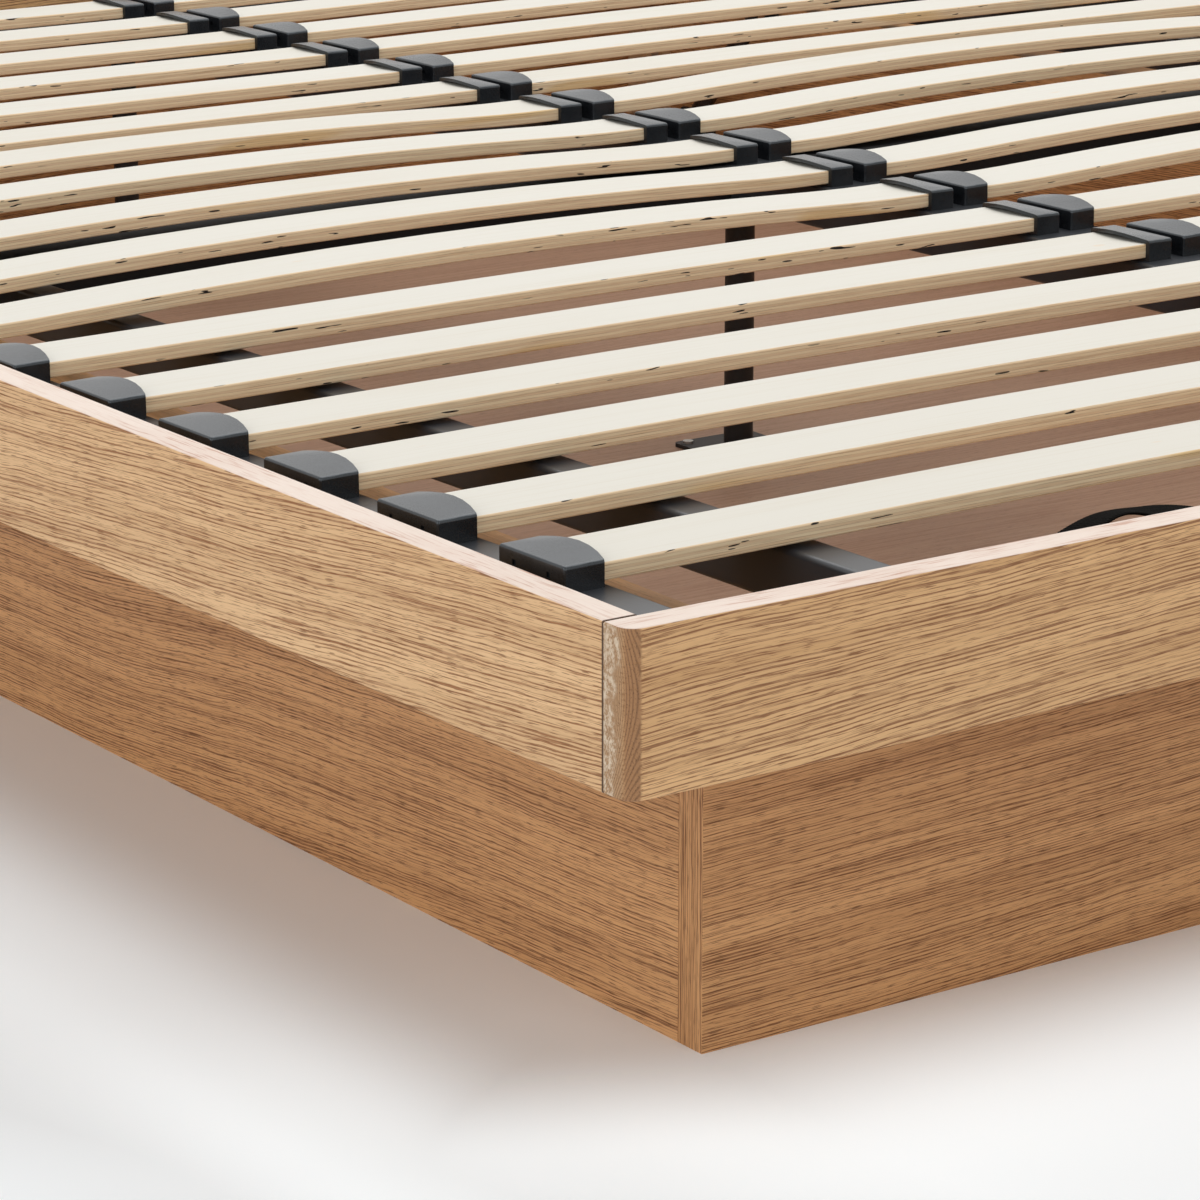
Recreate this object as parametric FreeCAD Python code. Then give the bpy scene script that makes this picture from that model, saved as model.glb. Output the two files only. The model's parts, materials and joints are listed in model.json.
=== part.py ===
import FreeCAD, Part
import math
import os

# Storage bed base: a recessed plinth box that carries a shallow oak tray, and a sprung slat
# platform that lifts from the foot end on gas struts. Millimetres, +Z up, foot end at -Y,
# origin on the ground below the middle of the bed.

V = FreeCAD.Vector
along_x = V(1, 0, 0)
along_y = V(0, 1, 0)
along_z = V(0, 0, 1)
downward = V(0, 0, -1)
tolerance = 1e-6
cut_margin = 2.0

# Overall size
overall_width = 1660.0
overall_length = 2060.0
rail_height = 86.0
rail_thickness = 20.0
rail_corner_round = 10.0
rail_edge_round = 1.2
rail_joint_gap = 0.5

# Plinth box and the ledges that join it to the rails
plinth_height = 218.0
plinth_thickness = 22.0
plinth_recess = 167.0
plinth_edge_round = 0.6
ledge_thickness = 18.0

# Storage floor
floor_names = ["floor_panel_foot", "floor_panel_middle", "floor_panel_head"]
floor_thickness = 12.0
floor_gap = 0.6
batten_count = 3
batten_width = 40.0
batten_height = 48.0

# Corner blocks inside the plinth
block_side = 30.0
block_height = 140.0
block_screw_step = 10.0

# Steel frame of the slat platform
side_gap = 8.0
foot_gap = 8.0
head_gap = 12.0
tube_width = 30.0
tube_height = 30.0
tube_wall = 2.0
tube_round = 3.0
tube_bore_round = 1.0
end_tube_height = 20.0
mid_tube_width = 64.0
inner_beam_width = 25.0
inner_beam_overhang = 4.0
centre_beam_width = 64.0
plug_depth = 4.0
plug_fit = 0.1

# Slats and the plastic caps that hold their ends
slat_rows = 17
slat_row_setback = 122.0
slat_width = 53.0
slat_thickness = 9.5
slat_round = 1.5
slat_fit = 0.2
slat_end_gap = 0.5
slat_flat_end = 30.0
slat_bend = 60.0
slat_bow = 1.2
middle_rows = 5
middle_bow = 8.0
cap_wall = 2.5
cap_floor = 2.0
cap_roof = 2.1
cap_crown = 3.0
cap_bulge = 5.0
side_cap_length = 24.0
centre_cap_length = 20.0
cap_back = 4.0
cap_round = 2.0
cap_back_round = 1.4
cap_mark = 3.0
cap_mark_depth = 1.0
cap_mark_spacing = 30.0
centre_cap_gap = 10.0
peg_radius = 4.0
peg_length = 5.0
peg_fit = 0.1

# Rubber pads that the closed platform settles on
pad_radius = 9.0
pad_height = 4.0
pads_per_side = 4
pads_at_foot = 3
pad_head_clear = 230.0
closed_clearance = 0.4

# Round posts under the centre beam
post_radius = 11.0
post_wall = 2.0
post_plate_side = 70.0
post_plate_thickness = 3.0
post_pad_height = 6.0
mid_post_y = 0.0
head_post_setback = 100.0

# Platform hinge at the head end, and how far the platform stands open at rest
hinge_setback = 10.0
hinge_plate_length = 56.0
hinge_plate_drop = 14.0
hinge_plate_thickness = 3.0
hinge_plate_end_gap = 2.0
hinge_pin_radius = 5.0
hinge_pin_reach = 12.0
hinge_collar_radius = 9.0
hinge_collar_gap = 0.4
running_fit = 0.05
rest_lift = 0.74
open_lift = 40.0

# Gas struts: both pivots lie on one circle about the hinge, so a strut turns half as fast
strut_lug_drop = 30.0
strut_closed_angle = 60.6
strut_side_gap = 2.0
cylinder_radius = 9.0
cylinder_wall = 1.5
cylinder_base = 4.0
gland_length = 6.0
rod_radius = 4.0
rod_shown_closed = 29.0
piston_length = 8.0
piston_fit = 0.1
piston_closed_gap = 10.0
stud_radius = 4.0
stud_head_radius = 7.0
stud_head_height = 2.0
eye_radius = 10.0
eye_width = 10.0
eye_neck = 18.0
slot_eye_width = 8.0
slot_eye_rim = 5.0
slot_fit = 0.3
lug_thickness = 4.0
lug_length = 36.0
lug_rim = 12.0
mount_side = 54.0
mount_thickness = 3.0
mount_floor_gap = 4.0

# Pull straps on the foot tube
strap_width = 25.0
strap_thickness = 1.8
strap_span = 116.0
strap_rise = 11.0
strap_tab = 22.0
strap_inset = 165.0

# Flat joining plates let into the underside of the tray
plate_length = 60.0
plate_width = 12.0
plate_thickness = 2.0
plate_fit = 0.2
plate_rail_reach = 14.0
plates_per_side = 5
plates_at_foot = 6
plate_end_clear = 160.0

# Wood screws
screw_radius = 2.0
screw_head_radius = 4.0
screw_head_height = 1.8
screw_fit = 0.05
screw_cover = 5.0
screw_edge = 8.0
ledge_screw_bite = 16.0
strap_screw_length = 9.0
ledge_screws_per_side = 6
ledge_screws_at_foot = 5

# Places worked out from the sizes above
half_width = overall_width / 2
half_length = overall_length / 2
rail_top = plinth_height + rail_height
tray_x = half_width - rail_thickness
tray_y = half_length - rail_thickness
plinth_x = half_width - plinth_recess
well_x = plinth_x - plinth_thickness
foot_plinth_y = plinth_recess - half_length
well_foot = foot_plinth_y + plinth_thickness
well_head = half_length - plinth_thickness
ledge_top = plinth_height + ledge_thickness
floor_top = batten_height + floor_thickness
slat_pitch = (overall_length - 2 * slat_row_setback) / (slat_rows - 1)

tube_bottom = ledge_top + pad_height + closed_clearance
tube_top = tube_bottom + tube_height
end_tube_top = tube_bottom + end_tube_height
frame_x = tray_x - side_gap
frame_foot = foot_gap - tray_y
frame_head = tray_y - head_gap
inner_beam_x = well_x - inner_beam_overhang
centre_beam_x = centre_beam_width / 2
strap_offset = inner_beam_x - strap_inset

hinge = V(0, frame_head - hinge_setback, tube_bottom + tube_height / 2)
hinge_plate_top = rail_top - hinge_plate_drop

plate_bottom = plinth_height + screw_head_height
plate_top = plate_bottom + plate_thickness
plate_screw_length = ledge_top - screw_cover - plate_bottom
block_screw_length = block_side + plinth_thickness - screw_cover
ledge_screw_length = ledge_thickness + ledge_screw_bite
hinge_screw_length = hinge_plate_thickness + rail_thickness - screw_cover
mount_screw_length = mount_thickness + plinth_thickness - screw_cover
floor_screw_length = post_plate_thickness + floor_thickness - screw_cover

pieces = {}
holes = {}
screws = []


def box(x0, x1, y0, y1, z0, z1):
    return Part.makeBox(x1 - x0, y1 - y0, z1 - z0, V(x0, y0, z0))


def rounded(shape, radius, axis):
    edges = []
    for edge in shape.Edges:
        run = edge.Vertexes[1].Point - edge.Vertexes[0].Point
        if run.cross(axis).Length < tolerance:
            edges.append(edge)
    return shape.makeFillet(radius, edges)


def bar(x0, x1, y0, y1, z0, z1, axis, radius):
    return rounded(box(x0, x1, y0, y1, z0, z1), radius, axis)


def tube(x0, x1, y0, y1, z0, z1, axis):
    wall = V(tube_wall * (1 - axis.x), tube_wall * (1 - axis.y), tube_wall * (1 - axis.z))
    outside = bar(x0, x1, y0, y1, z0, z1, axis, tube_round)
    bore = bar(x0 + wall.x, x1 - wall.x, y0 + wall.y, y1 - wall.y, z0 + wall.z, z1 - wall.z,
               axis, tube_bore_round)
    return outside.cut(bore)


def rod(radius, start, direction, length):
    return Part.makeCylinder(radius, length, start, direction)


def mirrored(shape):
    return shape.mirror(V(0, 0, 0), along_x)


def spread(first, last, count):
    step = (last - first) / (count - 1)
    return [first + step * index for index in range(count)]


def pair(name, shape):
    pieces[name + "_left"] = mirrored(shape)
    pieces[name + "_right"] = shape


def both_sides(shape):
    return [mirrored(shape), shape]


def fasten(names, point, direction, length):
    shank = rod(screw_radius, point, direction, length)
    head = rod(screw_head_radius, point - direction * screw_head_height, direction, screw_head_height)
    screws.append(shank.fuse(head).removeSplitter())
    hole = rod(screw_radius + screw_fit, point, direction, length + screw_fit)
    for name in names:
        holes.setdefault(name, []).append(hole)


def fasten_both(name, others, point, direction, length):
    for side, sign in (("_left", -1), ("_right", 1)):
        names = [other.replace("_side", side) for other in [name] + others]
        fasten(names, V(sign * point.x, point.y, point.z), V(sign * direction.x, direction.y, direction.z),
               length)


def lifted(shape):
    raised = shape.copy()
    raised.rotate(hinge, V(-1, 0, 0), rest_lift)
    return raised


# Oak rails: the end rails run the full width and the side rails butt between them
def end_rail(sign):
    rail = box(-half_width, half_width, tray_y, half_length, plinth_height, rail_top)
    corners = []
    for edge in rail.Edges:
        upright = edge.BoundBox.ZLength > rail_height - tolerance
        if upright and abs(edge.CenterOfMass.y - half_length) < tolerance:
            corners.append(edge)
    rail = rail.makeFillet(rail_corner_round, corners)
    upper = [edge for edge in rail.Edges if edge.BoundBox.ZMin > rail_top - tolerance]
    lower = [edge for edge in rail.Edges if edge.BoundBox.ZMax < plinth_height + tolerance]
    rail = rail.makeFillet(rail_edge_round, upper + lower)
    return rail if sign > 0 else rail.mirror(V(0, 0, 0), along_y)


side_rail_end = tray_y - rail_joint_gap
pieces["foot_rail"] = end_rail(-1)
pieces["head_rail"] = end_rail(1)
pair("side_rail", bar(tray_x, half_width, -side_rail_end, side_rail_end, plinth_height, rail_top,
                      along_y, rail_edge_round))

# Plinth box: the foot board covers the ends of the side boards
pieces["foot_plinth"] = bar(-plinth_x, plinth_x, foot_plinth_y, well_foot, 0, plinth_height,
                            along_z, plinth_edge_round)
pieces["head_plinth"] = bar(-plinth_x, plinth_x, well_head, half_length, 0, plinth_height,
                            along_z, plinth_edge_round)
pair("side_plinth", box(well_x, plinth_x, well_foot, well_head, 0, plinth_height))

# Ledges on top of the plinth, level with the lower edge of the rails
pieces["foot_ledge"] = box(-tray_x, tray_x, -tray_y, well_foot, plinth_height, ledge_top)
pair("side_ledge", box(well_x, tray_x, well_foot, tray_y, plinth_height, ledge_top))

# Storage floor: panels across the bed, on battens that lie on the ground
floor_depth = (well_head - well_foot - floor_gap) / len(floor_names)
for index, name in enumerate(floor_names):
    panel_start = well_foot + floor_gap + index * floor_depth
    pieces[name] = box(floor_gap - well_x, well_x - floor_gap, panel_start,
                       panel_start + floor_depth - floor_gap, batten_height, floor_top)
batten_reach = well_x - floor_gap - batten_width / 2
batten_middles = spread(-batten_reach, batten_reach, batten_count)
pieces["floor_battens"] = Part.makeCompound([
    box(x - batten_width / 2, x + batten_width / 2, well_foot + floor_gap, well_head - floor_gap,
        0, batten_height)
    for x in batten_middles])

# Corner blocks that tie the plinth boards together
block_screw_levels = (floor_top + block_side, floor_top + block_height - block_side)
blocks = []
for face, inward, board in ((well_foot, 1, "foot_plinth"), (well_head, -1, "head_plinth")):
    near, far = sorted((face, face + inward * block_side))
    blocks += both_sides(box(well_x - block_side, well_x, near, far, floor_top, floor_top + block_height))
    for level_index, level in enumerate(block_screw_levels):
        stagger = block_screw_step * (1 + level_index)
        fasten_both("plinth_corner_blocks", [board], V(well_x - stagger, face + inward * block_side, level),
                    V(0, -inward, 0), block_screw_length)
        fasten_both("plinth_corner_blocks", ["side_plinth_side"],
                    V(well_x - block_side, face + inward * stagger, level + block_side / 2),
                    along_x, block_screw_length)
pieces["plinth_corner_blocks"] = Part.makeCompound(blocks)

# Screws down through the ledges into the plinth boards
ledge_screw_x = (plinth_x + well_x) / 2
for y in spread(well_foot + plate_end_clear, well_head - plate_end_clear, ledge_screws_per_side):
    fasten_both("side_ledge_side", ["side_plinth_side"], V(ledge_screw_x, y, ledge_top),
                downward, ledge_screw_length)
for x in spread(plate_end_clear - well_x, well_x - plate_end_clear, ledge_screws_at_foot):
    fasten(["foot_ledge", "foot_plinth"], V(x, (foot_plinth_y + well_foot) / 2, ledge_top),
           downward, ledge_screw_length)

# Flat plates across each joint between two boards, sunk deep enough to cover their screw heads
plates = []


def joining_plate(names, joint, across):
    near = joint - across * plate_rail_reach
    far = near + across * plate_length
    sideways = across.cross(along_z) * (plate_width / 2)
    corners = [near - sideways, near + sideways, far - sideways, far + sideways]
    xs = [corner.x for corner in corners]
    ys = [corner.y for corner in corners]
    plates.append(box(min(xs), max(xs), min(ys), max(ys), plate_bottom, plate_top))
    pocket = box(min(xs) - plate_fit, max(xs) + plate_fit, min(ys) - plate_fit, max(ys) + plate_fit,
                 plinth_height - cut_margin, plate_top)
    for name in names:
        holes.setdefault(name, []).append(pocket)
    fasten(["tray_plates", names[0]], joint - across * (rail_thickness / 2), along_z, plate_screw_length)
    fasten(["tray_plates", names[1]], joint + across * (plate_length / 2), along_z, plate_screw_length)


for sign, side in ((-1, "_left"), (1, "_right")):
    for y in spread(well_foot + plate_end_clear, well_head - plate_end_clear, plates_per_side):
        joining_plate(["side_rail" + side, "side_ledge" + side], V(sign * tray_x, y, plate_bottom),
                      V(-sign, 0, 0))
    rail_middle = sign * (half_width - rail_thickness / 2)
    ledge_middle = sign * (plinth_x + tray_x) / 2
    joining_plate(["foot_rail", "side_rail" + side], V(rail_middle, -tray_y, plate_bottom), along_y)
    joining_plate(["head_rail", "side_rail" + side], V(rail_middle, tray_y, plate_bottom), V(0, -1, 0))
    joining_plate(["head_rail", "side_ledge" + side], V(ledge_middle, tray_y, plate_bottom), V(0, -1, 0))
for x in spread(plate_end_clear - tray_x, tray_x - plate_end_clear, plates_at_foot):
    joining_plate(["foot_rail", "foot_ledge"], V(x, -tray_y, plate_bottom), along_y)
pieces["tray_plates"] = Part.makeCompound(plates)

# Rubber pads on the ledges, under the steel frame
side_pad_x = frame_x - tube_width / 2
foot_pad_y = frame_foot + tube_width / 2
pad_places = []
for y in spread(well_foot, well_head - pad_head_clear, pads_per_side):
    pad_places += [V(-side_pad_x, y, ledge_top), V(side_pad_x, y, ledge_top)]
for x in spread(-inner_beam_x, inner_beam_x, pads_at_foot):
    pad_places.append(V(x, foot_pad_y, ledge_top))
pieces["rest_pads"] = Part.makeCompound([rod(pad_radius, place, along_z, pad_height)
                                         for place in pad_places])

# Posts that carry the closed centre beam at mid length and near the head
post_foot = floor_top + post_plate_thickness
post_top = tube_bottom - closed_clearance - post_pad_height
posts = []
post_plates = []
post_pads = []
for y in (mid_post_y, half_length - head_post_setback):
    outside = rod(post_radius, V(0, y, post_foot), along_z, post_top - post_foot)
    inside = rod(post_radius - post_wall, V(0, y, post_foot), along_z, post_top - post_foot)
    posts.append(outside.cut(inside))
    half_plate = post_plate_side / 2
    post_plates.append(bar(-half_plate, half_plate, y - half_plate, y + half_plate, floor_top, post_foot,
                           along_z, screw_head_radius))
    post_pads.append(rod(post_radius + post_wall, V(0, y, post_top), along_z, post_pad_height))
    screw_place = half_plate - screw_edge
    panel_index = int((y - well_foot) // floor_depth)
    for x_sign in (-1, 1):
        for y_sign in (-1, 1):
            fasten(["post_plates", floor_names[panel_index]],
                   V(x_sign * screw_place, y + y_sign * screw_place, post_foot), downward,
                   floor_screw_length)
pieces["centre_posts"] = Part.makeCompound(posts)
pieces["post_plates"] = Part.makeCompound(post_plates)
pieces["post_pads"] = Part.makeCompound(post_pads)

# Steel frame of the platform, built level and then raised to its rest angle
platform = {}
side_tube = tube(frame_x - tube_width, frame_x, frame_foot, frame_head, tube_bottom, tube_top, along_y)
side_tube = side_tube.cut(rod(hinge_pin_radius + running_fit, V(frame_x - tube_width / 2, hinge.y, hinge.z),
                              along_x, tube_width))
inner_beam = tube(inner_beam_x, inner_beam_x + inner_beam_width, frame_foot, frame_head,
                  tube_bottom, tube_top, along_y)
centre_beam = tube(-centre_beam_x, centre_beam_x, frame_foot, frame_head, tube_bottom, tube_top, along_y)
cross_spans = ((inner_beam_x + inner_beam_width, frame_x - tube_width), (centre_beam_x, inner_beam_x))


def cross_tubes(start_y, width, top):
    tubes = []
    for x0, x1 in cross_spans:
        tubes += both_sides(tube(x0, x1, start_y, start_y + width, tube_bottom, top, along_x))
    return Part.makeCompound(tubes)


platform["foot_tube"] = cross_tubes(frame_foot, tube_width, end_tube_top)
platform["mid_cross_tubes"] = cross_tubes(-mid_tube_width / 2, mid_tube_width, tube_top)
platform["head_tube"] = cross_tubes(frame_head - tube_width, tube_width, end_tube_top)

# Plugs that close the ends of the long tubes
plugs = []


def end_plug(x0, x1, start):
    inset = tube_wall + plug_fit
    return bar(x0 + inset, x1 - inset, start, start + plug_depth, tube_bottom + inset, tube_top - inset,
               along_y, tube_bore_round)


for start in (frame_foot, frame_head - plug_depth):
    plugs += both_sides(end_plug(frame_x - tube_width, frame_x, start))
    plugs += both_sides(end_plug(inner_beam_x, inner_beam_x + inner_beam_width, start))
    plugs.append(end_plug(-centre_beam_x, centre_beam_x, start))
platform["tube_end_plugs"] = Part.makeCompound(plugs)


# Slat end cap: back at x = 0, mouth towards +X, standing on z = 0. A thin hood that is flat at the
# back and arches over the slat at the mouth
slot_height = slat_thickness + 2 * slat_fit
slot_half = slat_width / 2 + slat_fit
cap_half = slot_half + cap_wall
cap_side_height = cap_floor + slot_height + cap_roof


def hood_section(x, half, floor, shoulder, roof_line):
    left = V(x, -half, shoulder)
    right = V(x, half, shoulder)
    low_left = V(x, -half, floor)
    low_right = V(x, half, floor)
    return Part.Wire([Part.makeLine(low_left, low_right), Part.makeLine(low_right, right),
                      roof_line(right, left), Part.makeLine(left, low_left)])


def arch(right, left):
    return Part.Arc(right, (right + left) * 0.5 + V(0, 0, cap_crown), left).toShape()


def hood(back, mouth, half, floor, shoulder):
    return Part.makeLoft([hood_section(back, half, floor, shoulder, Part.makeLine),
                          hood_section(mouth, half, floor, shoulder, arch)], True, True)


def edges_at(shape, wanted):
    return [edge for edge in shape.Edges if wanted(edge.BoundBox)]


def slat_cap(length):
    mouth = length + cap_bulge
    block = hood(0, mouth, cap_half, 0, cap_side_height)
    shoulders = edges_at(block, lambda span: span.YLength < tolerance
                         and span.ZMin > cap_side_height - tolerance)
    block = block.makeFillet(cap_round, shoulders)
    plan = Part.Wire([
        Part.makeLine(V(0, -cap_half, 0), V(length, -cap_half, 0)),
        Part.Arc(V(length, -cap_half, 0), V(mouth, 0, 0), V(length, cap_half, 0)).toShape(),
        Part.makeLine(V(length, cap_half, 0), V(0, cap_half, 0)),
        Part.makeLine(V(0, cap_half, 0), V(0, -cap_half, 0))])
    block = block.common(Part.Face(plan).extrude(V(0, 0, cap_side_height + cap_crown + cut_margin)))
    back_top = edges_at(block, lambda span: span.XMax < tolerance
                        and span.ZMax > cap_side_height - cap_round / 2)
    block = block.makeFillet(cap_back_round, back_top)
    block = block.cut(hood(cap_back, mouth + cut_margin, slot_half, cap_floor, cap_floor + slot_height))
    for y in (-cap_mark_spacing / 2, cap_mark_spacing / 2):
        block = block.cut(box(0, cap_mark_depth, y - cap_mark / 2, y + cap_mark / 2,
                              cap_side_height / 2 - cap_mark / 2, cap_side_height / 2 + cap_mark / 2))
    return block.fuse(rod(peg_radius, V(length / 2, 0, -peg_length), along_z, peg_length))


# Slat at y = 0: straight in its caps, and bent upwards between them by arcs that meet smoothly
slat_bottom = tube_top + cap_floor + slat_fit
slat_outer = frame_x - cap_back - slat_end_gap
slat_inner = centre_cap_gap / 2 + cap_back + slat_end_gap
slat_middle = (slat_inner + slat_outer) / 2


def sprung_slat(bow):
    half_run = slat_middle - slat_inner - slat_flat_end
    slope = 2 * math.atan(bow / half_run)
    lower_radius = slat_bend / math.sin(slope)
    upper_radius = (half_run - slat_bend) / math.sin(slope)

    def on_bend(turn):
        return V(slat_inner + slat_flat_end + lower_radius * math.sin(turn), 0,
                 slat_bottom + lower_radius * (1 - math.cos(turn)))

    def on_crown(turn):
        return V(slat_middle - upper_radius * math.sin(turn), 0,
                 slat_bottom + bow - upper_radius * (1 - math.cos(turn)))

    start = V(slat_inner, 0, slat_bottom)
    rise = [Part.makeLine(start, on_bend(0)),
            Part.Arc(on_bend(0), on_bend(slope / 2), on_bend(slope)).toShape(),
            Part.Arc(on_crown(slope), on_crown(slope / 2), on_crown(0)).toShape()]
    fall = [edge.mirror(V(slat_middle, 0, 0), along_x) for edge in reversed(rise)]
    straight = bar(slat_inner, slat_outer, -slat_width / 2, slat_width / 2, slat_bottom,
                   slat_bottom + slat_thickness, along_x, slat_round)
    end = [face for face in straight.Faces if face.BoundBox.XMax < slat_inner + tolerance][0]
    return Part.Wire(rise + fall).makePipeShell([end.OuterWire], True, False)


# Slat rows with a cap at each end, pegged into the side tubes and the centre beam
side_cap = mirrored(slat_cap(side_cap_length))
centre_cap = slat_cap(centre_cap_length)
edge_slat = sprung_slat(slat_bow)
middle_slat = sprung_slat(middle_bow)
middle_start = (slat_rows - middle_rows) // 2
side_caps = []
centre_caps = []
side_holes = []
centre_holes = []
for row in range(slat_rows):
    y = (row - (slat_rows - 1) / 2) * slat_pitch
    in_middle = middle_start <= row < middle_start + middle_rows
    slat = (middle_slat if in_middle else edge_slat).copy()
    slat.translate(V(0, y, 0))
    platform["slat_row_%02d" % (row + 1)] = Part.makeCompound(both_sides(slat))
    for caps, cap, x in ((side_caps, side_cap, frame_x), (centre_caps, centre_cap, centre_cap_gap / 2)):
        placed = cap.copy()
        placed.translate(V(x, y, tube_top))
        caps += both_sides(placed)
    peg_hole = rod(peg_radius + peg_fit, V(0, y, tube_top - tube_wall - cut_margin), along_z,
                   tube_wall + 2 * cut_margin)
    centre_peg = (centre_cap_gap + centre_cap_length) / 2
    for place, group in ((frame_x - side_cap_length / 2, side_holes), (centre_peg, centre_holes),
                         (-centre_peg, centre_holes)):
        placed = peg_hole.copy()
        placed.translate(V(place, 0, 0))
        group.append(placed)
platform["side_caps"] = Part.makeCompound(side_caps)
platform["centre_caps"] = Part.makeCompound(centre_caps)
side_tube = side_tube.cut(side_holes)
platform["side_tube_left"] = mirrored(side_tube)
platform["side_tube_right"] = side_tube
platform["centre_beam"] = centre_beam.cut(centre_holes)
platform["inner_beam_left"] = mirrored(inner_beam)
platform["inner_beam_right"] = inner_beam

# Pull straps: a webbing arch screwed to the foot tube by a tab at each end
strap_y0 = frame_foot + (tube_width - strap_width) / 2


def strap_band(middle):
    half = strap_span / 2
    radius = (half * half + strap_rise * strap_rise) / (2 * strap_rise)
    low = end_tube_top
    under = [V(middle - half, 0, low), V(middle, 0, low + strap_rise), V(middle + half, 0, low)]
    lean = math.asin(half / radius)
    over_half = half + strap_thickness * math.tan(lean / 2)
    high = low + strap_thickness
    over = [V(middle + over_half, 0, high), V(middle, 0, low + strap_rise + strap_thickness),
            V(middle - over_half, 0, high)]
    ends = [V(middle - half - strap_tab, 0, low), V(middle + half + strap_tab, 0, low),
            V(middle + half + strap_tab, 0, high), V(middle - half - strap_tab, 0, high)]
    outline = Part.Wire([
        Part.makeLine(ends[0], under[0]),
        Part.Arc(under[0], under[1], under[2]).toShape(),
        Part.makeLine(under[2], ends[1]),
        Part.makeLine(ends[1], ends[2]),
        Part.makeLine(ends[2], over[0]),
        Part.Arc(over[0], over[1], over[2]).toShape(),
        Part.makeLine(over[2], ends[3]),
        Part.makeLine(ends[3], ends[0])])
    band = Part.Face(outline).extrude(V(0, strap_width, 0))
    band.translate(V(0, strap_y0, 0))
    return band


straps = []
strap_screws = []
strap_screw_y = strap_y0 + strap_width / 2
for middle in (-strap_offset, strap_offset):
    band = strap_band(middle)
    for end in (-1, 1):
        place = V(middle + end * (strap_span + strap_tab + strap_thickness) / 2, strap_screw_y,
                  end_tube_top + strap_thickness)
        shank = rod(screw_radius, place, downward, strap_screw_length)
        head = rod(screw_head_radius, place, along_z, screw_head_height)
        strap_screws.append(shank.fuse(head).removeSplitter())
        hole = rod(screw_radius + screw_fit, place, downward, strap_screw_length + screw_fit)
        band = band.cut(hole)
        platform["foot_tube"] = platform["foot_tube"].cut(hole)
    straps.append(band)
platform["pull_straps"] = Part.makeCompound(straps)
platform["strap_screws"] = Part.makeCompound(strap_screws)

# Gas strut pivots, on a circle about the hinge that brings the mounts just above the floor
closed_angle = math.radians(strut_closed_angle)
mount_depth = hinge.z - floor_top - mount_floor_gap - mount_side / 2
lug_run = (mount_depth - strut_lug_drop * math.cos(closed_angle)) / math.sin(closed_angle)
strut_circle = math.hypot(lug_run, strut_lug_drop)
mount_angle = math.atan2(strut_lug_drop, lug_run) + closed_angle
lug_pivot = hinge + V(0, -lug_run, -strut_lug_drop)
mount_pivot = hinge + V(0, -strut_circle * math.cos(mount_angle), -mount_depth)
strut_x = inner_beam_x - lug_thickness - strut_side_gap - cylinder_radius


def stud(start_x, pivot):
    inner_x = strut_x - eye_width / 2 - running_fit
    shank = rod(stud_radius, V(inner_x, pivot.y, pivot.z), along_x, start_x - inner_x)
    head = rod(stud_head_radius, V(inner_x, pivot.y, pivot.z), V(-1, 0, 0), stud_head_height)
    return shank.fuse(head)


# Lugs on the inner beams take the rods
lug = bar(inner_beam_x - lug_thickness, inner_beam_x, lug_pivot.y - lug_length / 2,
          lug_pivot.y + lug_length / 2, lug_pivot.z - lug_rim, tube_top - tube_round, along_x, tube_round)
lug = lug.fuse(stud(inner_beam_x - lug_thickness, lug_pivot)).removeSplitter()
platform["strut_lugs"] = Part.makeCompound(both_sides(lug))

# Mounts on the plinth take the cylinders
mount_face = well_x - mount_thickness
half_mount = mount_side / 2
mount = bar(mount_face, well_x, mount_pivot.y - half_mount, mount_pivot.y + half_mount,
            mount_pivot.z - half_mount, mount_pivot.z + half_mount, along_x, tube_round)
mount = mount.fuse(stud(mount_face, mount_pivot)).removeSplitter()
pieces["strut_mounts"] = Part.makeCompound(both_sides(mount))
mount_screw = half_mount - screw_edge
for y_sign in (-1, 1):
    for z_sign in (-1, 1):
        place = V(mount_face, mount_pivot.y + y_sign * mount_screw, mount_pivot.z + z_sign * mount_screw)
        fasten_both("strut_mounts", ["side_plinth_side"], place, along_x, mount_screw_length)

# Hinge plates on the side rails, each with a shouldered pin into its side tube
hinge_plate_x = tray_x - hinge_plate_thickness
hinge_plate_end = tray_y - hinge_plate_end_gap
hinge_plate_start = hinge_plate_end - hinge_plate_length
hinge_plate = bar(hinge_plate_x, tray_x, hinge_plate_start, hinge_plate_end,
                  ledge_top, hinge_plate_top, along_x, tube_round)
pieces["hinge_plates"] = Part.makeCompound(both_sides(hinge_plate))
for y in (hinge_plate_start + screw_edge, hinge_plate_end - screw_edge):
    for z in (ledge_top + screw_edge, hinge_plate_top - screw_edge):
        fasten_both("hinge_plates", ["side_rail_side"], V(hinge_plate_x, y, z), along_x, hinge_screw_length)
pin_start = V(hinge_plate_x, hinge.y, hinge.z)
collar_length = hinge_plate_x - frame_x - hinge_collar_gap
pin = rod(hinge_pin_radius, pin_start, V(-1, 0, 0), hinge_plate_x - frame_x + tube_wall + hinge_pin_reach)
pin = pin.fuse(rod(hinge_collar_radius, pin_start, V(-1, 0, 0), collar_length)).removeSplitter()
pieces["hinge_pins"] = Part.makeCompound(both_sides(pin))


# How a strut follows the platform: it turns half as fast, and its length is close to linear
rest_angle = closed_angle + math.radians(rest_lift)


def strut_length(lift):
    return 2 * strut_circle * math.sin((rest_angle + lift) / 2)


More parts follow.
